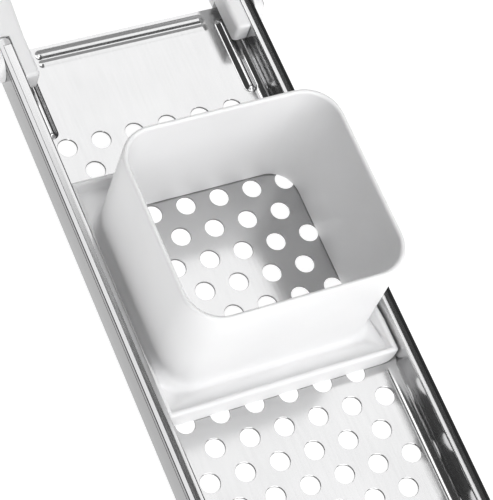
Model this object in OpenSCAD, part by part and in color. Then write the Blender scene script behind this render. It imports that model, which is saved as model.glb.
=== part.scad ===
// Spaetzle maker: a perforated steel pan with two side rails, a sliding
// square hopper, a loop handle and a front end bar. Units are millimetres.
// X runs across the pan, +Y points to the handle, Z is up and the pan lies on z = 0.

/* [Pan] */
// Length of the steel pan
pan_len = 313.5; // [290:0.5:360]
// Width of the flat floor between the side bends
floor_w = 86.6; // [84:0.1:96]
// Thickness of the steel sheet
sheet_t = 0.8; // [0.6:0.1:1]
// Inside radius of the bend from floor to side wall
bend_r = 4.2; // [3:0.1:5]
// Height of the side walls above the floor
wall_h = 13.8; // [12:0.1:18]
// Radius of the rounded edge along the top of a wall
edge_r = 1.2; // [1.1:0.1:2]
// Width of the flat lip on top of each wall
lip_w = 2.3; // [1.2:0.1:2.5]
// How far the lip stops short of the pan's ends
lip_setback = 4; // [2:0.5:6]

/* [Perforation] */
// Diameter of a hole
hole_d = 7.6; // [6:0.1:8]
// Distance between holes across the pan
hole_pitch = 14; // [13:0.1:15]
// Distance between rows of holes
row_pitch = 12; // [11.5:0.1:12.5]
// Number of rows
row_count = 20; // [12:1:20]
// Holes in one row
row_holes = 6; // [3:1:6]
// Distance from the pan's handle end to the first row
first_row = 45.7; // [44:0.1:60]

/* [Beads] */
// Height of the pressed stiffening beads
bead_h = 1.2; // [0.6:0.1:1.5]
// Width of one bead
bead_w = 3.4; // [2:0.1:4]
// Length of the cross beads
cross_bead_len = 72; // [50:1:76]
// Length of the side beads beside the handle arms
side_bead_len = 35.5; // [10:0.5:35.5]
// Width of a side bead
side_bead_w = 5; // [3:0.1:5]

/* [Rails] */
// Distance from the wall's inner face to the rail's outer face
rail_w = 5.4; // [5:0.1:7]
// Width of the flange that turns in under the pan
rail_foot = 3.6; // [2:0.1:4]

/* [Hopper slide] */
// Length of the slide along the pan
slide_len = 100; // [92:1:110]
// Gap between the slide and each side wall
slide_gap = 0.4; // [0.3:0.05:0.8]
// Gap between the slide and the pan floor
slide_lift = 0.3; // [0.3:0.05:0.6]
// Height of the rim round the slide
rim_h = 10.6; // [8:0.1:12]
// Thickness of that rim
rim_t = 2.2; // [1.5:0.1:2.4]
// Height of the slide's deck above the pan floor
deck_h = 4; // [3:0.1:5]
// Inside width of the hopper, across the pan
hopper_w = 83; // [70:0.5:83.5]
// Inside length of the hopper, along the pan
hopper_l = 76; // [60:0.5:78]
// Height of the hopper above the pan floor
hopper_h = 60; // [40:1:70]
// Wall thickness of the hopper
hopper_t = 2; // [1.6:0.1:2.1]
// Inside corner radius of the hopper
hopper_r = 12; // [8:0.5:16]
// Place of the hopper's middle along the pan at rest
slide_y = 9.5; // [-20:0.5:20]

/* [Handle and end bar] */
// Length of the handle beyond the pan
handle_len = 74.5; // [65:0.5:90]
// Width of a handle arm, measured across the pan
arm_w = 15.4; // [14:0.1:18]
// Thickness of the handle
handle_t = 14.6; // [13:0.1:15]
// Length of the arm that lies inside each rail
inner_prong = 19.5; // [15:0.5:24]
// Length of the arm outside each rail
outer_prong = 14.5; // [13:0.5:20]
// Half width of the handle's opening at its far end
grip_half_w = 39; // [32:0.5:41]
// Width of the grip bar at the far end
grip_w = 17; // [14:0.5:20]
// Corner radius of the handle's opening
loop_r = 24; // [12:0.5:28]
// How much narrower the arms are at the far end
arm_taper = 2.5; // [0:0.5:5]
// Length of the end bar in front of the pan
bar_len = 11; // [10:0.5:16]
// Width of the notch that hooks over the rim of a pot
notch_w = 5; // [4.5:0.1:6]
// Depth of that notch
notch_h = 7; // [4.5:0.1:8]

/* [Rivets] */
// Diameter of a rivet shank
rivet_d = 4; // [3:0.1:4.5]
// Diameter of a rivet head
rivet_head_d = 7.5; // [6:0.1:9]
// Height of a rivet head
rivet_head_h = 1.6; // [1:0.1:2]

/* [Hidden] */
$fn = 48;
eps = 0.01;

// heights, measured from the underside of the pan
floor_z = sheet_t;
top_z = floor_z + wall_h;
foot_r = 1.2;

// half widths, measured from the middle of the pan
floor_x = floor_w / 2;
wall_x = floor_x + bend_r;
edge_x = wall_x + edge_r;
lip_x = edge_x + lip_w;
rail_x = wall_x + rail_w;

// places along the pan: the whole object is centred on y = 0
total_len = handle_len + pan_len + bar_len;
handle_end_y = total_len / 2;
pan_back_y = handle_end_y - handle_len;
pan_front_y = pan_back_y - pan_len;
lip_back_y = pan_back_y - lip_setback;
lip_front_y = pan_front_y + lip_setback;

// a pair of cross beads at the handle end and one near the front
cross_bead_ys = [pan_back_y - 3.7, pan_back_y - 7.6, pan_front_y + 22];
side_bead_inset = 5.5;

// seams between the pan's lip and the rail
end_gap = 0.05;
end_lap = 0.2;
rail_setback = 0.6;

// the forks that grip the rails
fork_gap = 0.1;
prong_in_x = floor_x - 1.5;
prong_out_x = prong_in_x + arm_w;
prong_low_z = floor_z + bend_r - 0.3;
prong_top_z = top_z - 0.5;
rivet_z = floor_z + 8.2;
rivet_inset = 7.5;
rivet_blind = 1.6;
rivet_gap = 0.05;

white_plastic = [0.93, 0.93, 0.92];
bright_steel = [0.80, 0.81, 0.82];
dull_steel = [0.66, 0.67, 0.68];

// Rounded rectangle, centred, made of true arcs
module rounded_rect(w, l, r) {
    square([w - 2 * r, l], center = true);
    square([w, l - 2 * r], center = true);
    for (sx = [-1, 1], sy = [-1, 1])
        translate([sx * (w / 2 - r), sy * (l / 2 - r)])
            circle(r);
}

// Quarter of a ring: corner is the centre, qx and qy choose the quadrant
module quarter_ring(r_in, r_out, qx, qy) {
    intersection() {
        difference() {
            circle(r_out);
            circle(r_in);
        }
        translate([qx > 0 ? 0 : -r_out, qy > 0 ? 0 : -r_out])
            square(r_out);
    }
}

// Runs a section drawn in X and Z along the pan from y0 to y1
module along_pan(y0, y1) {
    translate([0, y1, 0])
        rotate([90, 0, 0])
            linear_extrude(y1 - y0)
                children();
}

// Bead with ball ends along X, sunk so that only bead_h stands above the floor
module bead(len, w) {
    half = (len - w) / 2;
    intersection() {
        translate([0, 0, floor_z + bead_h - w / 2]) {
            rotate([0, 90, 0])
                cylinder(h = 2 * half, d = w, center = true);
            for (s = [-1, 1])
                translate([s * half, 0, 0])
                    sphere(d = w);
        }
        translate([-len, -w, sheet_t / 2])
            cube([2 * len, 2 * w, 2 * w]);
    }
}

module cross_bead(y) {
    translate([0, y, 0])
        bead(cross_bead_len, bead_w);
}

module side_bead(side) {
    x = side * (floor_x - side_bead_w / 2);
    y = pan_back_y - side_bead_inset - side_bead_len / 2;
    translate([x, y, 0])
        rotate([0, 0, 90])
            bead(side_bead_len, side_bead_w);
}

// Staggered rows: each second row is shifted by half a pitch
module hole_field() {
    for (row = [0 : row_count - 1], i = [0 : row_holes - 1]) {
        shift = (row % 2 == 0 ? -0.25 : 0.25) * hole_pitch;
        x = (i - (row_holes - 1) / 2) * hole_pitch + shift;
        y = pan_back_y - first_row - row * row_pitch;
        translate([x, y, -1])
            cylinder(h = sheet_t + 2, d = hole_d);
    }
}

module pan_floor() {
    color(bright_steel)
        difference() {
            union() {
                translate([-floor_x, pan_front_y, 0])
                    cube([floor_w, pan_len, sheet_t]);
                for (y = cross_bead_ys)
                    cross_bead(y);
                side_bead(-1);
                side_bead(1);
            }
            hole_field();
        }
}

// Right-hand wall of the pan: bend, wall, rounded top edge and lip
module wall_section() {
    translate([floor_x, floor_z + bend_r])
        quarter_ring(bend_r, bend_r + sheet_t, 1, -1);
    translate([wall_x, floor_z + bend_r])
        square([sheet_t, wall_h - bend_r - edge_r]);
}

module lip_section() {
    translate([edge_x, top_z - edge_r])
        quarter_ring(edge_r - sheet_t, edge_r, -1, 1);
    translate([edge_x, top_z - sheet_t])
        square([lip_w, sheet_t]);
}

module pan_wall() {
    color(bright_steel)
        difference() {
            union() {
                along_pan(pan_front_y, pan_back_y)
                    wall_section();
                along_pan(lip_front_y, lip_back_y)
                    lip_section();
            }
            rivet_holes();
        }
}

// Right-hand rail: ledge under the lip, shoulder, outer wall and foot
module rail_section() {
    shoulder_x = rail_x - edge_r;
    translate([edge_x + 0.1, top_z - 2 * sheet_t])
        square([shoulder_x - edge_x - 0.1, sheet_t]);
    translate([lip_x + 0.05, top_z - sheet_t - eps])
        square([shoulder_x - lip_x - 0.05, sheet_t + eps]);
    translate([shoulder_x, top_z - edge_r])
        difference() {
            quarter_ring(edge_r - sheet_t, edge_r, 1, 1);
            square(eps);
        }
    translate([rail_x - sheet_t, foot_r])
        square([sheet_t, top_z - edge_r - foot_r]);
    translate([rail_x - foot_r, foot_r])
        quarter_ring(foot_r - sheet_t, foot_r, 1, -1);
    translate([rail_x - rail_foot, 0])
        square([rail_foot - foot_r, sheet_t]);
}

// Closed end of a rail, flush with the lip that stops short of it
module rail_end(y0, y1) {
    cap_h = edge_r - end_gap;
    translate([wall_x, y0, top_z - cap_h])
        cube([rail_w - edge_r + end_lap, y1 - y0, cap_h]);
}

module rail() {
    back_y = pan_back_y - rail_setback;
    front_y = pan_front_y + rail_setback;
    color(dull_steel)
        difference() {
            union() {
                along_pan(front_y, back_y)
                    rail_section();
                rail_end(lip_back_y + end_gap, back_y);
                rail_end(front_y, lip_front_y - end_gap);
            }
            rivet_holes();
        }
}

// Places of the rivets along the pan: handle end first
function rivet_ys() = [pan_back_y - rivet_inset, pan_front_y + rivet_inset];

module rivet_hole(y, side) {
    translate([side * (prong_in_x + rivet_blind), y, rivet_z])
        rotate([0, side * 90, 0])
            cylinder(h = prong_out_x - prong_in_x, d = rivet_d + 2 * rivet_gap);
}

module rivet_holes() {
    for (y = rivet_ys())
        rivet_hole(y, 1);
}

module rivet(y, side) {
    shank = prong_out_x - prong_in_x - rivet_blind - rivet_gap;
    head_r = (pow(rivet_head_d / 2, 2) + pow(rivet_head_h, 2)) / (2 * rivet_head_h);
    translate([side * prong_out_x, y, rivet_z])
        rotate([0, side * 90, 0]) {
            translate([0, 0, -shank])
                cylinder(h = shank + eps, d = rivet_d);
            intersection() {
                translate([0, 0, rivet_head_h - head_r])
                    sphere(head_r, $fn = 96);
                cylinder(h = rivet_head_h + 1, d = rivet_head_d + 1);
            }
        }
}

module handle_rivets() {
    color(dull_steel)
        for (side = [-1, 1])
            rivet(rivet_ys()[0], side);
}

module end_bar_rivets() {
    color(dull_steel)
        for (side = [-1, 1])
            rivet(rivet_ys()[1], side);
}

// Points of an arc from angle a0 to a1 about c
function arc(c, r, a0, a1, steps = 12) =
    [for (i = [0 : steps]) let (a = a0 + (a1 - a0) * i / steps)
        [c[0] + r * cos(a), c[1] + r * sin(a)]];

// Half outline of a loop that narrows from (half_w0, y0) to a round corner at the far end
function loop_half(half_w0, y0, half_w1, y1, r) =
    let (lean = atan2(half_w0 - half_w1, y1 - r - y0))
    concat([[half_w0, y0]], arc([half_w1 - r, y1 - r], r, lean, 90));

function mirrored(points) =
    [for (i = [len(points) - 1 : -1 : 0]) [-points[i][0], points[i][1]]];

module loop_outline(half_w0, y0, half_w1, y1, r) {
    right = loop_half(half_w0, y0, half_w1, y1, r);
    polygon(concat(right, mirrored(right)));
}

// The two prongs that grip the right-hand rail; dir is +1 at the handle end
module fork(end_y, dir) {
    out_x = rail_x + fork_gap;
    tip_r = top_z / 2;
    straight = outer_prong - tip_r;
    translate([prong_in_x, dir > 0 ? end_y - inner_prong : end_y, prong_low_z])
        cube([wall_x - fork_gap - prong_in_x, inner_prong, prong_top_z - prong_low_z]);
    translate([out_x, dir > 0 ? end_y - straight : end_y, 0])
        cube([prong_out_x - out_x, straight, top_z]);
    translate([out_x, end_y - dir * straight, tip_r])
        rotate([0, 90, 0])
            cylinder(h = prong_out_x - out_x, r = tip_r);
}

module handle() {
    outer_r = loop_r + grip_w - 1;
    color(white_plastic)
        difference() {
            union() {
                linear_extrude(handle_t)
                    difference() {
                        loop_outline(prong_out_x, pan_back_y, grip_half_w + arm_w - arm_taper,
                                     handle_end_y, outer_r);
                        translate([0, -eps])
                            loop_outline(prong_in_x, pan_back_y, grip_half_w,
                                         handle_end_y - grip_w, loop_r);
                    }
                for (side = [0, 1])
                    mirror([side, 0, 0])
                        fork(pan_back_y + eps, 1);
            }
            for (side = [-1, 1])
                rivet_hole(rivet_ys()[0], side);
        }
}

module end_bar() {
    corner_r = 6;
    front_y = pan_front_y - bar_len;
    color(white_plastic)
        difference() {
            union() {
                linear_extrude(top_z)
                    difference() {
                        translate([0, pan_front_y - bar_len / 2 + corner_r])
                            rounded_rect(2 * prong_out_x, bar_len + 2 * corner_r, corner_r);
                        translate([-100, pan_front_y])
                            square([200, 50]);
                    }
                for (side = [0, 1])
                    mirror([side, 0, 0])
                        fork(pan_front_y - eps, -1);
            }
            for (side = [-1, 1])
                rivet_hole(rivet_ys()[1], side);
            translate([-100, front_y + (bar_len - notch_w) / 2, -eps])
                cube([200, notch_w, notch_h + eps]);
        }
}

// Cross-section of the slide's tray: it follows the bends of the pan
module slide_section() {
    half = wall_x - slide_gap;
    low = floor_z + slide_lift;
    r = bend_r + 0.2;
    translate([-half + r, low])
        square([2 * (half - r), r]);
    translate([-half, low + r])
        square([2 * half, rim_h - slide_lift - r]);
    for (s = [-1, 1])
        translate([s * (half - r), low + r])
            circle(r);
}

module hopper_slide() {
    half = wall_x - slide_gap;
    y0 = slide_y - slide_len / 2;
    deck_z = floor_z + deck_h;
    color(white_plastic)
        difference() {
            union() {
                difference() {
                    along_pan(y0, y0 + slide_len)
                        slide_section();
                    translate([-half + rim_t, y0 + rim_t, deck_z])
                        cube([2 * (half - rim_t), slide_len - 2 * rim_t, hopper_h]);
                }
                translate([0, slide_y, floor_z + slide_lift])
                    linear_extrude(hopper_h - slide_lift)
                        rounded_rect(hopper_w + 2 * hopper_t, hopper_l + 2 * hopper_t,
                                     hopper_r + hopper_t);
            }
            translate([0, slide_y, -1])
                linear_extrude(hopper_h + 20)
                    rounded_rect(hopper_w, hopper_l, hopper_r);
        }
}

pan_floor();
mirror([1, 0, 0]) pan_wall();  // pan_wall_left
pan_wall();  // pan_wall_right
mirror([1, 0, 0]) rail();  // rail_left
rail();  // rail_right
handle();
handle_rivets();
end_bar();
end_bar_rivets();
hopper_slide();
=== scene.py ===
"""Look of the spaetzle maker: every visible piece is built here in mesh code around the CAD frame."""

import math

import bmesh
import bpy
from mathutils import Matrix, Vector


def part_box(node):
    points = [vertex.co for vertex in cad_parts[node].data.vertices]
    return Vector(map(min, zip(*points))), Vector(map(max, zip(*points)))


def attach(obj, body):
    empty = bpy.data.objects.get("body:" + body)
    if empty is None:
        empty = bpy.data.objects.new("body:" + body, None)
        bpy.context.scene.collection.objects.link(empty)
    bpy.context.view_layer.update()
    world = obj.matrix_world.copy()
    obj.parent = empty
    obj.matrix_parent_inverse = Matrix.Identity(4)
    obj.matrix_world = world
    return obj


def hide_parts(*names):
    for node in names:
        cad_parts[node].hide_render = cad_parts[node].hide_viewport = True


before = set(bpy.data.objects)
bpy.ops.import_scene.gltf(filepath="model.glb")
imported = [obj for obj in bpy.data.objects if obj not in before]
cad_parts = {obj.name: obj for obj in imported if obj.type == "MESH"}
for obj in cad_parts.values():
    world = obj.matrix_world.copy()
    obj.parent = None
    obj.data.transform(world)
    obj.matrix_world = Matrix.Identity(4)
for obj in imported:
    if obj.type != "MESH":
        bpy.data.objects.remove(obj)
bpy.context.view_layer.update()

MM = 0.001

# ---------------------------------------------------------------- sizes, in mm, from the frame


def box_mm(node):
    lo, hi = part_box(node)
    return lo / MM, hi / MM


floor_lo, floor_hi = box_mm("pan_floor")
wall_lo, wall_hi = box_mm("pan_wall_right")
rail_lo, rail_hi = box_mm("rail_right")
handle_lo, handle_hi = box_mm("handle")
bar_lo, bar_hi = box_mm("end_bar")
rivet_lo, rivet_hi = box_mm("handle_rivets")
front_rivet_lo, front_rivet_hi = box_mm("end_bar_rivets")
slide_lo, slide_hi = box_mm("hopper_slide")

SHEET = 0.8
BEND_R = 4.2
EDGE_R = 0.6
BEND_STEPS, WALL_STEPS, EDGE_STEPS = 14, 3, 6
PLATEAU = 1.15  # level inner part of the lip; the rest falls outwards
SLOPE = math.radians(8)
SHOULDER = math.radians(14)  # fall of the rail's own strip beside the lip
FLOOR_X = floor_hi.x
WALL_X = FLOOR_X + BEND_R
TOP = wall_hi.z
LIP_X = wall_hi.x
RAIL_X = rail_hi.x
PAN_FRONT, PAN_BACK = floor_lo.y, floor_hi.y
LIP_SETBACK = 4.0
SEAM = 0.14
FOOT_R, FOOT_W = 1.2, 3.6  # bend and width of the flange under the rail

HOLE_R = 3.8
HOLE_PITCH = 14.0
ROW_PITCH = 12.0
ROWS = 20
ROW_HOLES = 6
FIRST_ROW = PAN_BACK - 45.7
RIM = 0.15  # roll-over at the edge of a punched hole

ARM_IN, ARM_OUT = 41.5, handle_hi.x
PRONG_LOW, FORK_GAP = 4.7, 0.1
NOTCH_W, NOTCH_H = 5, 7  # the notch for the rim of a pot


# ---------------------------------------------------------------- mesh helpers


def finish_mesh(obj, material, body, replaced, smooth):
    """Shades a mesh smooth up to an angle in degrees and hands it over to the frame."""
    mesh = obj.data
    for poly in mesh.polygons:
        poly.use_smooth = True
    mesh.set_sharp_from_angle(angle=math.radians(smooth))
    mesh.materials.clear()
    mesh.materials.append(material)
    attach(obj, body)
    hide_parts(*replaced)
    return obj


def mesh_object(name, points, faces):
    """A mesh object from points in mm and faces."""
    mesh = bpy.data.meshes.new(name)
    mesh.from_pydata([Vector(p) * MM for p in points], [], faces)
    mesh.validate()
    obj = bpy.data.objects.new(name, mesh)
    bpy.context.scene.collection.objects.link(obj)
    return obj


def sheet(points, backs, faces):
    """Closes a surface with its back side: faces on both sides and a strip along every open edge."""
    n = len(points)
    edges = {(a, b) for f in faces for a, b in zip(f, f[1:] + f[:1])}
    back_faces = [tuple(i + n for i in reversed(f)) for f in faces]
    rims = [(b, a, a + n, b + n) for a, b in sorted(edges) if (b, a) not in edges]
    return points + backs, faces + back_faces + rims, len(rims)


def loft(rings, closed_ends=True):
    """Skins rings of equal point counts; caps both ends, or joins the last ring to the first."""
    n = len(rings[0])
    points = [p for ring in rings for p in ring]
    faces = []
    for r in range(len(rings) - 1):
        for i in range(n):
            j = (i + 1) % n
            faces.append((r * n + i, r * n + j, (r + 1) * n + j, (r + 1) * n + i))
    last = (len(rings) - 1) * n
    if closed_ends:
        faces.append(tuple(range(n - 1, -1, -1)))
        faces.append(tuple(range(last, last + n)))
    else:
        for i in range(n):
            j = (i + 1) % n
            faces.append((last + i, last + j, j, i))
    return points, faces


def outward(obj):
    """Turns all the faces of a closed mesh outwards."""
    bm = bmesh.new()
    bm.from_mesh(obj.data)
    bmesh.ops.recalc_face_normals(bm, faces=bm.faces)
    bm.to_mesh(obj.data)
    bm.free()


def combine(target, others, operation):
    """Joins closed solids to the target, or cuts them from it, and removes them."""
    for other in others:
        mod = target.modifiers.new("combine", "BOOLEAN")
        mod.operation = operation
        mod.solver = "EXACT"
        mod.object = other
    depsgraph = bpy.context.evaluated_depsgraph_get()
    merged = bpy.data.meshes.new_from_object(target.evaluated_get(depsgraph))
    target.modifiers.clear()
    target.data = merged
    for other in others:
        bpy.data.objects.remove(other)
    return target


# ---------------------------------------------------------------- the pan's section


RIDGE_X = WALL_X + EDGE_R + PLATEAU


def lip_height(x):
    """Height of the lip at distance x from the middle: level, then sloping outwards."""
    return TOP - max(0.0, x - RIDGE_X) * math.tan(SLOPE)


def pan_section():
    """Right half of the pan's section beyond the flat floor: (arc length, x, z, normal x, normal z)."""
    rows = []
    length = FLOOR_X
    for i in range(1, BEND_STEPS + 1):
        a = math.radians(90) * i / BEND_STEPS
        rows.append((length + BEND_R * a, FLOOR_X + BEND_R * math.sin(a),
                     SHEET + BEND_R * (1 - math.cos(a)), -math.sin(a), math.cos(a)))
    length += BEND_R * math.radians(90)
    low, high = SHEET + BEND_R, TOP - EDGE_R
    for i in range(1, WALL_STEPS + 1):
        z = low + (high - low) * i / WALL_STEPS
        rows.append((length + z - low, WALL_X, z, -1.0, 0.0))
    length += high - low
    for i in range(1, EDGE_STEPS + 1):
        b = math.radians(90) * i / EDGE_STEPS
        rows.append((length + EDGE_R * b, WALL_X + EDGE_R - EDGE_R * math.cos(b),
                     TOP - EDGE_R + EDGE_R * math.sin(b), -math.cos(b), math.sin(b)))
    length, x = rows[-1][0], rows[-1][1]
    bend = 0.12
    for run in (0.1, PLATEAU - bend):
        rows.append((length + run, x + run, TOP, 0.0, 1.0))
    for run in (bend, 2 * bend, LIP_X - RIDGE_X):
        rows.append((length + PLATEAU + run, RIDGE_X + run, lip_height(RIDGE_X + run),
                     math.sin(SLOPE), math.cos(SLOPE)))
    return rows


def bead_rise(distance, radius, height):
    """Height of a pressed bead at a distance from its middle line: round top, soft foot."""
    share = min(1.0, distance / radius)
    return height * (1 - share * share) ** 1.5


def segment_distance(s, y, a, b):
    """Distance from (s, y) to the segment a-b."""
    p, a, b = Vector((s, y)), Vector(a), Vector(b)
    t = max(0.0, min(1.0, (p - a).dot(b - a) / (b - a).length_squared))
    return (p - a - t * (b - a)).length


# cross beads: place along the pan, half width, height
CROSS_BEADS = [(PAN_BACK - 3.7, 2.2, 0.62), (PAN_BACK - 7.7, 1.9, 0.36), (PAN_FRONT + 22, 1.9, 0.6)]
SIDE_BEAD_S, SIDE_BEAD_R, SIDE_BEAD_H = 42.4, 2.7, 1.5
SIDE_BEAD_Y = (PAN_BACK - 41.0, PAN_BACK - 5.5)


def relief(s, y):
    """Rise of the pan's surface at arc length s and place y, from all the pressed beads."""
    rise = 0.0
    for bead_y, radius, height in CROSS_BEADS:
        half = 36 - radius
        d = segment_distance(s, y, (-half, bead_y), (half, bead_y))
        rise = max(rise, bead_rise(d, radius, height))
    if y > SIDE_BEAD_Y[0]:
        d = segment_distance(abs(s), y, (SIDE_BEAD_S, SIDE_BEAD_Y[0] + SIDE_BEAD_R),
                             (SIDE_BEAD_S, SIDE_BEAD_Y[1] - SIDE_BEAD_R))
        rise = max(rise, bead_rise(d, SIDE_BEAD_R, SIDE_BEAD_H))
    return rise


def spread(a, b, step):
    """Evenly spaced values from a to b, at most step apart."""
    count = max(1, math.ceil((b - a) / step - 1e-6))
    return [a + (b - a) * i / count for i in range(count + 1)]


def merge_lines(*lists):
    """One sorted list of grid lines, without repeats."""
    return sorted({round(v, 4) for values in lists for v in values})


class Surface:
    """Points on the pan's upper side, named by arc length and place along the pan."""

    def __init__(self):
        self.points, self.backs, self.faces, self.index = [], [], [], {}
        self.section = {round(r[0], 4): r for r in pan_section()}

    def vertex(self, s, y):
        key = (round(s, 4), round(y, 4))
        if key not in self.index:
            side = 1 if s >= 0 else -1
            if abs(key[0]) > FLOOR_X + 1e-4:
                _, x, z, nx, nz = self.section[abs(key[0])]
            else:
                x, z, nx, nz = abs(s), SHEET, 0.0, 1.0
            h = relief(s, y)
            self.index[key] = len(self.points)
            self.points.append((side * (x + nx * h), y, z + nz * h))
            self.backs.append((side * (x + nx * (h - SHEET)), y, z + nz * (h - SHEET)))
        return self.index[key]

    def extra(self, point, back):
        self.points.append(point)
        self.backs.append(back)
        return len(self.points) - 1

    def grid(self, ss, ys):
        for y0, y1 in zip(ys, ys[1:]):
            for s0, s1 in zip(ss, ss[1:]):
                self.faces.append((self.vertex(s0, y0), self.vertex(s1, y0),
                                   self.vertex(s1, y1), self.vertex(s0, y1)))


def hole_ring(surface, cx, cy, count=48):
    """The rolled edge of one punched hole; returns its outermost points, counter-clockwise."""
    steps = [(HOLE_R + RIM, SHEET), (HOLE_R, SHEET - RIM)]
    rings = []
    for r, z in steps:
        ring = []
        for k in range(count):
            a = 2 * math.pi * k / count
            x, y = cx + r * math.cos(a), cy + r * math.sin(a)
            ring.append(surface.extra((x, y, z), (x, y, 0.0)))
        rings.append(ring)
    for outer, inner in zip(rings, rings[1:]):
        for k in range(count):
            j = (k + 1) % count
            surface.faces.append((outer[k], outer[j], inner[j], inner[k]))
    return rings[0]


def hole_cell(surface, cx, cy, y0, y1, lines):
    """The sheet round one hole, from y0 to y1; lines gives the points along both these edges."""
    ring = hole_ring(surface, cx, cy)
    quarter = len(ring) // 4
    xl, xr = max(cx - HOLE_PITCH / 2, -FLOOR_X), min(cx + HOLE_PITCH / 2, FLOOR_X)
    far = [s for s in lines(y1) if xl - 1e-4 <= s <= xr + 1e-4]
    near = [s for s in lines(y0) if xl - 1e-4 <= s <= xr + 1e-4]
    edges = [
        [(xr, cy)] + [(s, y1) for s in reversed(far) if s >= cx - 1e-4],
        [(s, y1) for s in reversed(far) if s <= cx + 1e-4] + [(xl, cy)],
        [(xl, cy)] + [(s, y0) for s in near if s <= cx + 1e-4],
        [(s, y0) for s in near if s >= cx - 1e-4] + [(xr, cy)],
    ]
    for q, edge in enumerate(edges):
        arc = [ring[(q * quarter + k) % len(ring)] for k in range(quarter, -1, -1)]
        surface.faces.append(tuple(surface.vertex(s, y) for s, y in edge) + tuple(arc))


def build_pan(material, edge_material):
    """The whole pressed sheet: perforated floor, beads, bends, walls and lips."""
    surface = Surface()
    coarse = [-FLOOR_X] + [HOLE_PITCH / 2 * (i - 5.5) for i in range(12)] + [FLOOR_X]
    bead_ends = spread(33.2, 37.2, 0.4)
    sides = spread(38.5, FLOOR_X, 0.4)
    fine = merge_lines(coarse, bead_ends, [-v for v in bead_ends], sides, [-v for v in sides])
    row_ys = [FIRST_ROW - ROW_PITCH * r for r in range(ROWS)]
    rows_back, rows_front = row_ys[0] + HOLE_R + 0.6, row_ys[-1] - ROW_PITCH / 2

    def lines(y):
        return fine if min(abs(y - rows_back), abs(y - rows_front)) < 1e-3 else merge_lines(coarse)

    back_ys = merge_lines(spread(rows_back, 89.5, 0.36), spread(89.5, 112.5, 5.0),
                          spread(112.5, PAN_BACK, 0.34), [PAN_BACK - LIP_SETBACK])
    front_ys = merge_lines([PAN_FRONT, PAN_FRONT + LIP_SETBACK, rows_front],
                           spread(PAN_FRONT + 19, PAN_FRONT + 25, 0.34))
    surface.grid(fine, back_ys)
    surface.grid(fine, front_ys)
    for r, y in enumerate(row_ys):
        shift = HOLE_PITCH / 4 * (-1 if r % 2 == 0 else 1)
        near, far = y - ROW_PITCH / 2, rows_back if r == 0 else y + ROW_PITCH / 2
        for i in range(ROW_HOLES):
            hole_cell(surface, (i - (ROW_HOLES - 1) / 2) * HOLE_PITCH + shift, y, near, far, lines)
        side = 1 if r % 2 == 0 else -1
        edge = [38.5, FLOOR_X] if side > 0 else [-FLOOR_X, -38.5]
        for y0, y1 in ((near, y), (y, far)):
            low = [s for s in lines(y0) if edge[0] - 1e-4 <= s <= edge[1] + 1e-4]
            high = [s for s in lines(y1) if edge[0] - 1e-4 <= s <= edge[1] + 1e-4]
            if abs(y0 - y) < 1e-4:
                low = edge
            if abs(y1 - y) < 1e-4:
                high = edge
            surface.faces.append(tuple(surface.vertex(s, y0) for s in low)
                                 + tuple(surface.vertex(s, y1) for s in reversed(high)))
    ys = merge_lines(front_ys, row_ys, [y - ROW_PITCH / 2 for y in row_ys], back_ys)
    section = [round(FLOOR_X, 4)] + [round(r[0], 4) for r in pan_section()]
    wall_top = 1 + BEND_STEPS + WALL_STEPS
    lip_ys = [y for y in ys if PAN_FRONT + LIP_SETBACK - 1e-3 <= y <= PAN_BACK - LIP_SETBACK + 1e-3]
    surface.grid(section[:wall_top], ys)
    surface.grid(section[wall_top - 1:], lip_ys)
    surface.grid([-s for s in reversed(section[:wall_top])], ys)
    surface.grid([-s for s in reversed(section[wall_top - 1:])], lip_ys)
    points, faces, rims = sheet(surface.points, surface.backs, surface.faces)
    obj = mesh_object("pan", points, faces)
    finish_mesh(obj, material, "frame",
                ("pan_floor", "pan_wall_left", "pan_wall_right"), 33)
    obj.data.materials.append(edge_material)
    for poly in list(obj.data.polygons)[-rims:]:
        poly.material_index = 1
    return obj


# ---------------------------------------------------------------- rails


def arc_points(cx, cz, r, a0, a1, steps):
    """Arc in the X-Z plane; angles in degrees from +X towards +Z."""
    out = []
    for i in range(steps + 1):
        a = math.radians(a0 + (a1 - a0) * i / steps)
        out.append((cx + r * math.cos(a), cz + r * math.sin(a)))
    return out


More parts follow.
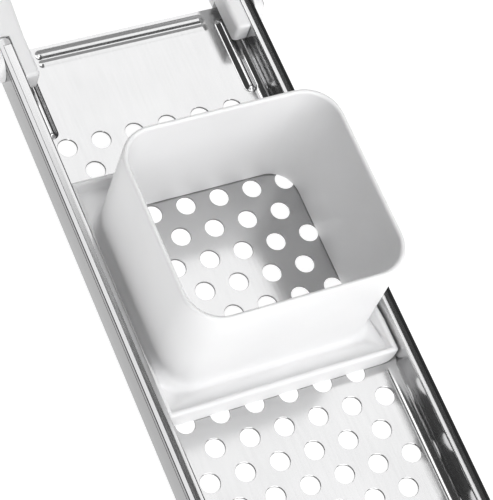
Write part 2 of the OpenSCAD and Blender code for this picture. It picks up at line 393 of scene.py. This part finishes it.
def rail_section(raised, inner_x):
    """Closed section of the right rail. raised is the closed end beyond the lip, whose edge is at inner_x."""
    corner = 0.5
    seam_x = LIP_X + SEAM
    drop = math.tan(SHOULDER)
    strip_z = lip_height(seam_x) - 0.02
    corner_x = RAIL_X - corner
    corner_z = (strip_z - (corner_x + corner * math.sin(SHOULDER) - seam_x) * drop
                - corner * math.cos(SHOULDER))
    if raised:
        head = arc_points(inner_x + EDGE_R, TOP - EDGE_R, EDGE_R, 180, 90, 5)
        head += [(RIDGE_X, TOP), (seam_x - 0.06, lip_height(seam_x - 0.06))]
        under = [(inner_x, TOP - EDGE_R - 0.8)]
    else:
        ledge_x, under_lip = WALL_X + 1.8, SHEET + 0.04
        head = [(ledge_x + 0.2 * k, lip_height(ledge_x + 0.2 * k) - under_lip) for k in range(6)]
        head += [(LIP_X + 0.02, lip_height(LIP_X) - under_lip), (seam_x - 0.06, strip_z - 0.08)]
        under = [(ledge_x, lip_height(ledge_x) - under_lip - SHEET)]
    outer = [(seam_x, strip_z), (seam_x + 0.1, strip_z - 0.1 * drop)]
    outer += [(corner_x, strip_z - (corner_x - seam_x) * drop)]
    outer += arc_points(corner_x, corner_z, corner, 90 - math.degrees(SHOULDER), 0, 5)
    for depth, z in ((0, 12.4), (0, 12.25), (0.2, 12.1), (0.2, 11.95), (0, 11.8), (0, 11.6)):
        outer.append((RAIL_X - depth, z))  # a shallow crease along the outer wall
    outer += arc_points(RAIL_X - FOOT_R, FOOT_R, FOOT_R, 0, -90, 5)
    outer += [(RAIL_X - FOOT_W, 0.0), (RAIL_X - FOOT_W, SHEET)]
    inner = arc_points(RAIL_X - FOOT_R, FOOT_R, FOOT_R - SHEET, -90, 0, 3)
    inner += [(RAIL_X - SHEET, corner_z - 0.8), (RAIL_X - SHEET - 0.3, corner_z - 0.5)]
    return head + outer + inner + under


def build_rail(name, node, side, material):
    """A rail swept along the pan: closed rounded ends, and a ledge under the lip between them."""
    front, back = rail_lo.y, rail_hi.y
    lip_back, lip_front = PAN_BACK - LIP_SETBACK, PAN_FRONT + LIP_SETBACK
    corner = 2.0
    slices = []
    for i in range(9):
        a = math.radians(90) * i / 8
        slices.append((front + corner * (1 - math.cos(a)), True, WALL_X + corner * (1 - math.sin(a))))
    slices.append((lip_front - SEAM, True, WALL_X))
    slices.append((lip_front - SEAM + 0.02, False, WALL_X))
    for y in spread(lip_front, lip_back, 24)[1:-1]:
        slices.append((y, False, WALL_X))
    slices.append((lip_back + SEAM - 0.02, False, WALL_X))
    slices.append((lip_back + SEAM, True, WALL_X))
    for i in range(9):
        a = math.radians(90) * i / 8
        slices.append((back - corner + corner * math.sin(a), True, WALL_X + corner * (1 - math.cos(a))))
    rings = [[(side * x, y, z) for x, z in rail_section(raised, inner_x)] for y, raised, inner_x in slices]
    points, faces = loft(rings)
    obj = mesh_object(name, points, faces)
    outward(obj)
    return finish_mesh(obj, material, "frame", (node,), 33)


# ---------------------------------------------------------------- handle and end bar


def rounded_section(inner, outer, thickness, radius, steps=5):
    """Rounded rectangle standing on the line from inner to outer, as points in space."""
    inner, outer = Vector(inner), Vector(outer)
    width = (outer - inner).length
    across = (outer - inner) / width
    corners = [(radius, radius, 180), (width - radius, radius, 270),
               (width - radius, thickness - radius, 0), (radius, thickness - radius, 90)]
    ring = []
    for cu, cz, start in corners:
        for i in range(steps + 1):
            a = math.radians(start + 90 * i / steps)
            p = inner + across * (cu + radius * math.cos(a))
            ring.append((p.x, p.y, cz + radius * math.sin(a)))
    return ring


def half_loop(half_w0, y0, half_w1, y1, r, straight, arc, flat):
    """Half outline of a loop that narrows towards a round corner at its far end."""
    lean = math.atan2(half_w0 - half_w1, y1 - r - y0)
    cx, cy = half_w1 - r, y1 - r
    start = Vector((half_w0, y0, 0))
    bend = Vector((cx + r * math.cos(lean), cy + r * math.sin(lean), 0))
    points = [start.lerp(bend, i / straight) for i in range(straight)]
    for i in range(arc + 1):
        a = lean + (math.radians(90) - lean) * i / arc
        points.append(Vector((cx + r * math.cos(a), cy + r * math.sin(a), 0)))
    end = Vector((0, y1, 0))
    points += [points[-1].lerp(end, i / flat) for i in range(1, flat + 1)]
    return points


def block(name, lo, hi):
    """A square-edged solid for cutting."""
    bm = bmesh.new()
    bmesh.ops.create_cube(bm, size=1)
    lo, hi = Vector(lo), Vector(hi)
    for v in bm.verts:
        v.co = Vector([(lo[i] + hi[i]) / 2 + v.co[i] * (hi[i] - lo[i]) for i in range(3)]) * MM
    mesh = bpy.data.meshes.new(name)
    bm.to_mesh(mesh)
    bm.free()
    obj = bpy.data.objects.new(name, mesh)
    bpy.context.scene.collection.objects.link(obj)
    return obj


def outer_prong(name, x0, x1, tip_y, root_y, height, side):
    """Flat prong beside the rail: half-round tip in side view, rounded outer edges."""
    r = height / 2
    towards = 1 if root_y > tip_y else -1
    outline = [(root_y, 0.0)]
    for i in range(17):
        a = math.radians(-90 - 180 * i / 16)
        outline.append((tip_y + towards * (r + r * math.cos(a)), r + r * math.sin(a)))
    outline.append((root_y, height))
    edge = 1.5
    rings = [[(side * x0, y, z) for y, z in outline]]
    for i in range(5):
        a = math.radians(90) * i / 4
        x, inset = x1 - edge + edge * math.sin(a), edge * (1 - math.cos(a))
        ring = []
        for y, z in outline:
            shrink = (r - inset) / r
            if abs(y - root_y) < 1e-6:
                ring.append((side * x, y, r + (z - r) * shrink))
            else:
                cy = tip_y + towards * r
                ring.append((side * x, cy + (y - cy) * shrink, r + (z - r) * shrink))
        rings.append(ring)
    points, faces = loft(rings)
    obj = mesh_object(name, points, faces)
    outward(obj)
    return obj


def inner_prong(name, x0, x1, z0, z1, tip_y, root_y, side):
    """Prong inside the rail: rounded towards the middle of the pan and at its tip."""
    towards = 1 if root_y > tip_y else -1
    tip = 1.6

    def section(y, inset):
        a, b, low, high = x0 + inset, x1 - 0.25 * inset, z0 + inset, z1 - inset
        ring = arc_points(a + 1.9, high - 1.9, 1.9, 180, 90, 5)
        ring += arc_points(b - 0.15, high - 0.15, 0.15, 90, 0, 3)
        ring += arc_points(b - 0.4, low + 0.4, 0.4, 0, -90, 3)
        ring += arc_points(a + 0.9, low + 0.9, 0.9, 270, 180, 4)
        return [(side * x, y, z) for x, z in ring]

    rings = []
    for i in range(7):
        a = math.radians(90) * i / 6
        rings.append(section(tip_y + towards * tip * (1 - math.sin(a)), tip * (1 - math.cos(a))))
    rings.reverse()
    rings.append(section(root_y, 0.0))
    points, faces = loft(rings)
    obj = mesh_object(name, points, faces)
    outward(obj)
    return obj


def prongs(prefix, tip_in, tip_out, root):
    """The four prongs of a fork pair, as solids that reach a little into the body at root."""
    made = []
    for side in (-1, 1):
        made.append(inner_prong(f"{prefix}_in_{side}", ARM_IN, WALL_X - 0.03, PRONG_LOW, TOP,
                                tip_in, root, side))
        made.append(outer_prong(f"{prefix}_out_{side}", RAIL_X + FORK_GAP, ARM_OUT,
                                tip_out, root, TOP, side))
    return made


def build_handle(material):
    """Loop with a round end, lofted along its half outline and mirrored, with both forks."""
    y0 = PAN_BACK
    inner = half_loop(ARM_IN, y0, 39, handle_hi.y - 17, 24, 8, 14, 3)
    outer = half_loop(ARM_OUT, y0, 51.9, handle_hi.y, 40, 8, 14, 3)
    rings = []
    for i in range(len(inner)):
        radius = 1.9 + 2.7 * min(1.0, i / 10)
        rings.append(rounded_section(inner[i], outer[i], handle_hi.z, radius))
    mirrored = [[(-x, y, z) for x, y, z in ring] for ring in rings[-2::-1]]
    points, faces = loft(rings + mirrored)
    obj = mesh_object("handle_loop", points, faces)
    outward(obj)
    combine(obj, prongs("prong", handle_lo.y, handle_lo.y + 5, y0 + 0.5), "UNION")
    return finish_mesh(obj, material, "frame", ("handle",), 38)


def build_end_bar(material):
    """Bar across the front: rounded corners and edges, four prongs, and the notch for a pot."""
    front, back = bar_lo.y, PAN_FRONT
    corner, edge = 6.0, 1.9
    half = ARM_OUT
    plan = [(half, back)]
    for i in range(11):
        a = math.radians(-90 * i / 10)
        plan.append((half - corner + corner * math.cos(a), front + corner + corner * math.sin(a)))
    for i in range(11):
        a = math.radians(-90 - 90 * i / 10)
        plan.append((-(half - corner) + corner * math.cos(a), front + corner + corner * math.sin(a)))
    plan.append((-half, back))

    def inset(point, d):
        """Moves an outline point inwards by d, except along the straight back edge."""
        x, y = point
        cx = max(-(half - corner), min(half - corner, x))
        cy = max(y, front + corner)
        v = Vector((x - cx, y - cy))
        v = v * (1 - d / corner) if v.length > 1e-6 else v
        out = Vector((cx, cy)) + v
        return out.x, min(out.y, back)

    rings = []
    for i in range(5):
        a = math.radians(90) * i / 4
        rings.append([(*inset(p, edge * (1 - math.sin(a))), edge * (1 - math.cos(a))) for p in plan])
    for i in range(5):
        a = math.radians(90) * i / 4
        rings.append([(*inset(p, edge * (1 - math.cos(a))), TOP - edge * (1 - math.sin(a))) for p in plan])
    points, faces = loft(rings)
    obj = mesh_object("end_bar_body", points, faces)
    outward(obj)
    combine(obj, prongs("front_prong", bar_hi.y, bar_hi.y - 5, back - 0.5), "UNION")
    y_mid = (front + back) / 2
    notch = block("pot_notch", (-70, y_mid - NOTCH_W / 2, -5), (70, y_mid + NOTCH_W / 2, NOTCH_H))
    combine(obj, [notch], "DIFFERENCE")
    return finish_mesh(obj, material, "frame", ("end_bar",), 38)


# ---------------------------------------------------------------- rivets


def build_rivets(name, node, lo, hi, material):
    """Domed rivet heads with a thin flange, and the shank behind each."""
    y, z = (lo.y + hi.y) / 2, (lo.z + hi.z) / 2
    head_r = (hi.z - lo.z) / 2
    face, top = ARM_OUT, hi.x
    shank_r, flange, seat = 1.98, 0.16, face - 0.02
    profile = [(face - 4, shank_r), (seat, shank_r), (seat, head_r - 0.12), (face + flange, head_r)]
    for i in range(1, 9):
        a = math.radians(90) * i / 8
        profile.append((face + flange + (top - face - flange) * math.sin(a), head_r * math.cos(a) + 0.004))
    points, faces = [], []
    for side in (-1, 1):
        rings = []
        for x, r in profile:
            turn = [2 * math.pi * k / 32 for k in range(32)]
            rings.append([(side * x, y + r * math.cos(a), z + r * math.sin(a)) for a in turn])
        p, f = loft(rings)
        faces += [tuple(i + len(points) for i in face_) for face_ in f]
        points += p
    obj = mesh_object(name, points, faces)
    outward(obj)
    return finish_mesh(obj, material, "frame", (node,), 40)


# ---------------------------------------------------------------- hopper slide


def smooth(t):
    """Eases from 0 to 1 while t goes from 0 to 1."""
    t = max(0.0, min(1.0, t))
    return t * t * (3 - 2 * t)


def plan_ring(half_w, half_l, radius, z, cy, steps=10, along=40):
    """Rounded rectangle in plan at height z, with points along its two long sides."""
    radius = min(radius, half_w - 0.01, half_l - 0.01)
    ring = []
    run = 2 * (half_l - radius)
    for sx, sy, start in ((1, 1, 0), (-1, 1, 90), (-1, -1, 180), (1, -1, 270)):
        for i in range(steps + 1):
            a = math.radians(start + 90 * i / steps)
            ring.append((sx * (half_w - radius) + radius * math.cos(a),
                         cy + sy * (half_l - radius) + radius * math.sin(a), z))
        if sx * sy < 0:
            ring += [(sx * half_w, ring[-1][1] - sy * run * i / along, z) for i in range(1, along)]
    return ring


def build_slide(material):
    """One moulding as a closed chain of plan rings: hopper inside, lip, outside, deck, rim, wall."""
    cy = (slide_lo.y + slide_hi.y) / 2
    half, length = slide_hi.x, (slide_hi.y - slide_lo.y) / 2
    bottom, top = slide_lo.z, slide_hi.z
    rim_top, rim_t, deck = SHEET + 10.2, 2.2, SHEET + 4.0
    in_w, in_l, wall = 41.5, 38.0, 2.0
    rings = []

    def ring(w, l, r, z):
        rings.append(plan_ring(w, l, r, z, cy))

    def shaped(point):
        """Deck and rim dip beside the hopper, and the deck rises a little in front of it."""
        x, y, z = point
        if z < deck - 0.1:
            return point
        dip = smooth((length - 13 - abs(y - cy)) / 16) * max(0.0, min(1.0, (abs(x) - in_w - wall) / 0.5))
        rise = smooth((cy - in_l - wall - y) / 3) * max(0.0, 1 - (z - deck) / 5)
        return x, y, z - 2.3 * dip + 2.4 * rise

    # inside of the hopper, from its foot up
    ring(in_w + 0.35, in_l + 0.35, 11.2, bottom)
    ring(in_w + 0.08, in_l + 0.08, 11.0, bottom + 0.25)
    ring(in_w, in_l, 11.0, bottom + 0.8)
    for i in range(1, 7):
        t = i / 6
        ring(in_w, in_l, 11.0 + 1.6 * t, bottom + 0.8 + (top - bottom - 2.0) * t)
    # rounded lip
    lip = wall / 2
    for i in range(1, 8):
        a = math.radians(180) * i / 8
        ring(in_w + lip - lip * math.cos(a), in_l + lip - lip * math.cos(a), 12.6 + 0.7 * (1 - math.cos(a)),
             top - 1.2 + 1.2 * math.sin(a))
    # outside of the hopper, down to the fillet that runs out on the deck
    ring(in_w + wall, in_l + wall, 14.0, top - 1.2)
    for t in (0.3, 0.6, 0.85):
        ring(in_w + wall, in_l + wall, 14.0, top - 1.2 + (deck + 5.6 - top + 1.2) * t)
    for i in range(9):
        a = math.radians(90) * i / 8
        grow = 1 - math.cos(a)
        ring(in_w + wall + 0.55 * grow, in_l + wall + 4.6 * grow, 14.0 + 1.2 * grow,
             deck + 5.0 * (1 - math.sin(a)))
    # deck, inner foot of the rim, rounded rim
    rim_in_w, rim_in_l, rim_r = half - rim_t, length - rim_t, 0.5
    for i in range(4):
        a = math.radians(90) * i / 3
        ring(rim_in_w - 0.5 * math.cos(a), rim_in_l - 1.6 * (1 - math.sin(a)) if i else rim_in_l - 1.6,
             rim_r, deck + 1.2 * (1 - math.cos(a)))
    for i in range(9):
        a = math.radians(180) * i / 8
        out = rim_t / 2 * (1 - math.cos(a))
        ring(rim_in_w + out, rim_in_l + out, rim_r + 0.3 * out, rim_top - 1.1 + 1.1 * math.sin(a))
    rings = [[shaped(p) for p in r] for r in rings]
    # outer wall: it follows the bends of the pan along both sides
    low_r = 4.4
    for i in range(7):
        a = math.radians(90) * i / 6
        ring(half - low_r + low_r * math.cos(a), length, rim_r + 0.66, bottom + low_r - low_r * math.sin(a))
    points, faces = loft(rings, closed_ends=False)
    obj = mesh_object("hopper_slide_body", points, faces)
    outward(obj)
    return finish_mesh(obj, material, "slide", ("hopper_slide",), 50)


# ---------------------------------------------------------------- materials


def new_material(name):
    material = bpy.data.materials.new(name)
    material.use_nodes = True
    tree = material.node_tree
    return material, tree, tree.nodes["Principled BSDF"]


def noise(tree, scale, stretch=(1, 1, 1), detail=3.0):
    """Noise in object space, in cycles per metre along each axis."""
    coords = tree.nodes.new("ShaderNodeTexCoord")
    mapping = tree.nodes.new("ShaderNodeMapping")
    mapping.inputs["Scale"].default_value = stretch
    tex = tree.nodes.new("ShaderNodeTexNoise")
    tex.inputs["Scale"].default_value = scale
    tex.inputs["Detail"].default_value = detail
    tree.links.new(coords.outputs["Object"], mapping.inputs["Vector"])
    tree.links.new(mapping.outputs["Vector"], tex.inputs["Vector"])
    return tex.outputs["Fac"]


def map_range(tree, value, low, high):
    node = tree.nodes.new("ShaderNodeMapRange")
    node.inputs["From Min"].default_value = 0.3
    node.inputs["From Max"].default_value = 0.7
    node.inputs["To Min"].default_value = low
    node.inputs["To Max"].default_value = high
    tree.links.new(value, node.inputs["Value"])
    return node.outputs["Result"]


def ramp(tree, value, low, high):
    node = tree.nodes.new("ShaderNodeValToRGB")
    node.color_ramp.elements[0].position, node.color_ramp.elements[1].position = 0.3, 0.7
    node.color_ramp.elements[0].color = (*low, 1)
    node.color_ramp.elements[1].color = (*high, 1)
    tree.links.new(value, node.inputs["Fac"])
    return node.outputs["Color"]


def bump(tree, value, shader, distance, strength):
    node = tree.nodes.new("ShaderNodeBump")
    node.inputs["Distance"].default_value = distance
    node.inputs["Strength"].default_value = strength
    tree.links.new(value, node.inputs["Height"])
    tree.links.new(node.outputs["Normal"], shader.inputs["Normal"])


def steel(name, low, high, rough_low, rough_high, grain):
    """Stainless steel with a fine lengthwise grain."""
    material, tree, shader = new_material(name)
    shader.inputs["Metallic"].default_value = 1.0
    lengthwise = noise(tree, 60, (18, 1, 18), 4)
    cloudy = noise(tree, 22, (1, 1, 1), 3)
    tree.links.new(ramp(tree, cloudy, low, high), shader.inputs["Base Color"])
    tree.links.new(map_range(tree, lengthwise, rough_low, rough_high), shader.inputs["Roughness"])
    bump(tree, lengthwise, shader, 0.00002, grain)
    return material


def plastic(name, low, high, rough_low, rough_high):
    """White moulded plastic: satin, slightly translucent, with a faint unevenness."""
    material, tree, shader = new_material(name)
    cloudy = noise(tree, 30, (1, 1, 1), 2)
    fine = noise(tree, 900, (1, 1, 1), 2)
    tree.links.new(ramp(tree, cloudy, low, high), shader.inputs["Base Color"])
    tree.links.new(map_range(tree, fine, rough_low, rough_high), shader.inputs["Roughness"])
    shader.inputs["Subsurface Weight"].default_value = 0.05
    shader.inputs["Subsurface Radius"].default_value = (1.0, 0.95, 0.9)
    shader.inputs["Subsurface Scale"].default_value = 0.0015
    bump(tree, fine, shader, 0.00001, 0.15)
    return material


def floor_material():
    """Pale studio table that glows a little, so that it stays white under the object."""
    material, tree, shader = new_material("studio_floor")
    faint = noise(tree, 3, (1, 1, 1), 1)
    tree.links.new(ramp(tree, faint, (0.44, 0.44, 0.44), (0.46, 0.46, 0.46)), shader.inputs["Base Color"])
    shader.inputs["Roughness"].default_value = 0.9
    shader.inputs["Specular IOR Level"].default_value = 0.0
    shader.inputs["Emission Color"].default_value = (1, 1, 1, 1)
    shader.inputs["Emission Strength"].default_value = 0.78
    return material


# ---------------------------------------------------------------- studio


def build_floor():
    """Pale table just below the object."""
    size, z = 3000, -0.1
    points = [(-size, -size, z), (size, -size, z), (size, size, z), (-size, size, z)]
    obj = mesh_object("studio_floor", points, [(0, 1, 2, 3)])
    obj.data.materials.append(floor_material())


def window(tree, value, low, high, soft):
    """1 while value lies between low and high, with soft edges."""
    rise = tree.nodes.new("ShaderNodeMapRange")
    rise.interpolation_type = "SMOOTHSTEP"
    rise.inputs["From Min"].default_value = low - soft
    rise.inputs["From Max"].default_value = low + soft
    fall = tree.nodes.new("ShaderNodeMapRange")
    fall.interpolation_type = "SMOOTHSTEP"
    fall.inputs["From Min"].default_value = high - soft
    fall.inputs["From Max"].default_value = high + soft
    fall.inputs["To Min"].default_value = 1.0
    fall.inputs["To Max"].default_value = 0.0
    both = tree.nodes.new("ShaderNodeMath")
    both.operation = "MULTIPLY"
    tree.links.new(value, rise.inputs["Value"])
    tree.links.new(value, fall.inputs["Value"])
    tree.links.new(rise.outputs["Result"], both.inputs[0])
    tree.links.new(fall.outputs["Result"], both.inputs[1])
    return both.outputs["Value"]


def multiply(tree, a, b):
    node = tree.nodes.new("ShaderNodeMath")
    node.operation = "MULTIPLY"
    tree.links.new(a, node.inputs[0])
    if isinstance(b, float):
        node.inputs[1].default_value = b
    else:
        tree.links.new(b, node.inputs[1])
    return node.outputs["Value"]


def add(tree, a, b):
    node = tree.nodes.new("ShaderNodeMath")
    node.operation = "ADD"
    tree.links.new(a, node.inputs[0])
    tree.links.new(b, node.inputs[1])
    return node.outputs["Value"]


# Soft studio panels, each a window of directions: (x from, x to, y from, y to,
# edge softness, lowest z, brightness)
PANELS = [
    (0.24, 0.50, -0.06, 0.60, 0.03, 0.50, 1.60),
    (-0.32, -0.04, 0.00, 0.60, 0.04, 0.50, 2.50),
    (-0.04, 0.24, 0.41, 0.60, 0.03, 0.50, 1.60),
    (-0.60, 0.60, 0.66, 0.92, 0.05, 0.10, 0.40),
    (-0.45, 0.60, -1.00, -0.34, 0.10, 0.15, 2.85),
]
AMBIENT = 0.08


def build_world():
    """The sum of all the panels, over a faint even light."""
    world = bpy.data.worlds.new("studio")
    world.use_nodes = True
    bpy.context.scene.world = world
    tree = world.node_tree
    coords = tree.nodes.new("ShaderNodeTexCoord")
    split = tree.nodes.new("ShaderNodeSeparateXYZ")
    tree.links.new(coords.outputs["Generated"], split.inputs["Vector"])
    total = None
    for x0, x1, y0, y1, soft, low, strength in PANELS:
        above = window(tree, split.outputs["Z"], low, 2.0, 0.08)
        panel = multiply(tree, window(tree, split.outputs["X"], x0, x1, soft),
                         window(tree, split.outputs["Y"], y0, y1, soft))
        panel = multiply(tree, multiply(tree, panel, above), strength)
        total = panel if total is None else add(tree, total, panel)
    base = tree.nodes.new("ShaderNodeMath")
    base.operation = "ADD"
    base.inputs[1].default_value = AMBIENT
    tree.links.new(total, base.inputs[0])
    tree.links.new(base.outputs["Value"], tree.nodes["Background"].inputs["Strength"])
    tree.nodes["Background"].inputs["Color"].default_value = (1, 1, 1, 1)


def build_camera():
    """Camera at the photograph's viewing angle."""
    right = Vector((0.89587, -0.3833, 0.22473))
    back = Vector((-0.37162, -0.36914, 0.85184)).normalized()
    up = back.cross(right).normalized()
    right = up.cross(back)
    cam = bpy.data.cameras.new("camera")
    cam.sensor_width = 36
    cam.lens = 158.07
    cam.clip_start, cam.clip_end = 0.01, 50
    obj = bpy.data.objects.new("camera", cam)
    bpy.context.scene.collection.objects.link(obj)
    rotation = Matrix((right, up, back)).transposed()
    obj.matrix_world = Matrix.Translation(Vector((-297.35, -288.01, 709.15)) * MM) @ rotation.to_4x4()
    bpy.context.scene.camera = obj


# ---------------------------------------------------------------- assembly

pan_steel = steel("pan_steel", (0.53, 0.53, 0.533), (0.56, 0.56, 0.563), 0.13, 0.18, 0.25)
sheared_edge = steel("sheared_edge", (0.20, 0.20, 0.20), (0.26, 0.26, 0.26), 0.4, 0.55, 0.3)
# The rails' steel is much darker than the pan's. This is painted shade: it stands in for the shadowed floor
# beside the rails that their outer walls reflect.
rail_steel = steel("rail_steel", (0.29, 0.29, 0.293), (0.32, 0.32, 0.323), 0.08, 0.12, 0.12)
rivet_steel = steel("rivet_steel", (0.56, 0.56, 0.562), (0.62, 0.62, 0.622), 0.2, 0.3, 0.2)
white_plastic = plastic("white_plastic", (0.88, 0.88, 0.885), (0.91, 0.91, 0.915), 0.32, 0.4)
hopper_plastic = plastic("hopper_plastic", (0.88, 0.88, 0.885), (0.91, 0.91, 0.915), 0.38, 0.46)

build_pan(pan_steel, sheared_edge)
build_rail("left_rail", "rail_left", -1, rail_steel)
build_rail("right_rail", "rail_right", 1, rail_steel)
build_handle(white_plastic)
build_end_bar(white_plastic)
build_rivets("handle_rivet_heads", "handle_rivets", rivet_lo, rivet_hi, rivet_steel)
build_rivets("end_bar_rivet_heads", "end_bar_rivets", front_rivet_lo, front_rivet_hi, rivet_steel)
build_slide(hopper_plastic)

build_floor()
build_world()
build_camera()
bpy.context.scene.view_settings.view_transform = "Standard"
